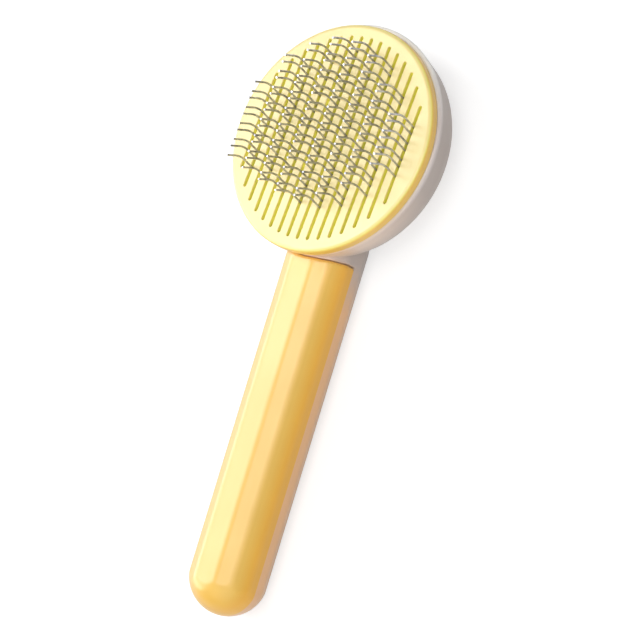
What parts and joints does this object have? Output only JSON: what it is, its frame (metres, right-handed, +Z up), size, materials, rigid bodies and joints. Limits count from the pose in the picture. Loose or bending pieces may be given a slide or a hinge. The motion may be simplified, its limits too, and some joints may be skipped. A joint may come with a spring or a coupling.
{
  "type": "slicker brush",
  "caption": "Self-cleaning slicker brush with a tilted round pin head, a slotted plate pushed out along the pins by a rear button, and a straight faceted handle.",
  "frame": {"origin": "middle of the footprint, on the surface that the brush lies on", "axes": "+X across the brush, +Y along the handle towards the top of the head, +Z up out of the face, which leans towards +Y"},
  "size_m": [0.0808, 0.2028, 0.0458],
  "materials": {
    "face_plate": "pale yellow plastic, satin, darker yellow at the rim",
    "handle_front_shell": "warm yellow plastic, satin",
    "rear_body": "white plastic, satin",
    "push_button": "warm yellow plastic, satin",
    "inner_plastic": "yellow plastic, matt, unseen faces left as moulded",
    "pins": "bright drawn wire",
    "springs": "zinc plated spring wire",
    "screws": "zinc plated"
  },
  "bodies": {
    "handle_and_pins": {"rear_body": "rear_body", "handle_front_shell": "handle_front_shell", "handle_screws": "screws", "pin_bed": "inner_plastic", "pin_clamp": "inner_plastic", "bed_screws": "screws", "pin_row_1": "pins", "pin_row_2": "pins", "pin_row_3": "pins", "pin_row_4": "pins", "pin_row_5": "pins", "pin_row_6": "pins", "pin_row_7": "pins", "pin_row_8": "pins", "return_spring_1": "springs", "return_spring_2": "springs", "return_spring_3": "springs"},
    "face_plate_and_button": {"face_plate": "face_plate", "button_carrier": "inner_plastic", "push_button": "push_button", "post_screws": "screws"}
  },
  "joints": [
    {"name": "face_plate_slide", "type": "slide", "parent": "handle_and_pins", "child": "face_plate_and_button", "axis": [0, 0.1002, 0.995], "range_m": [0, 0.009], "stiffness_N_per_m": 800, "springref_m": -0.0075, "deforming": ["return_spring_1", "return_spring_2", "return_spring_3"]}
  ]
}
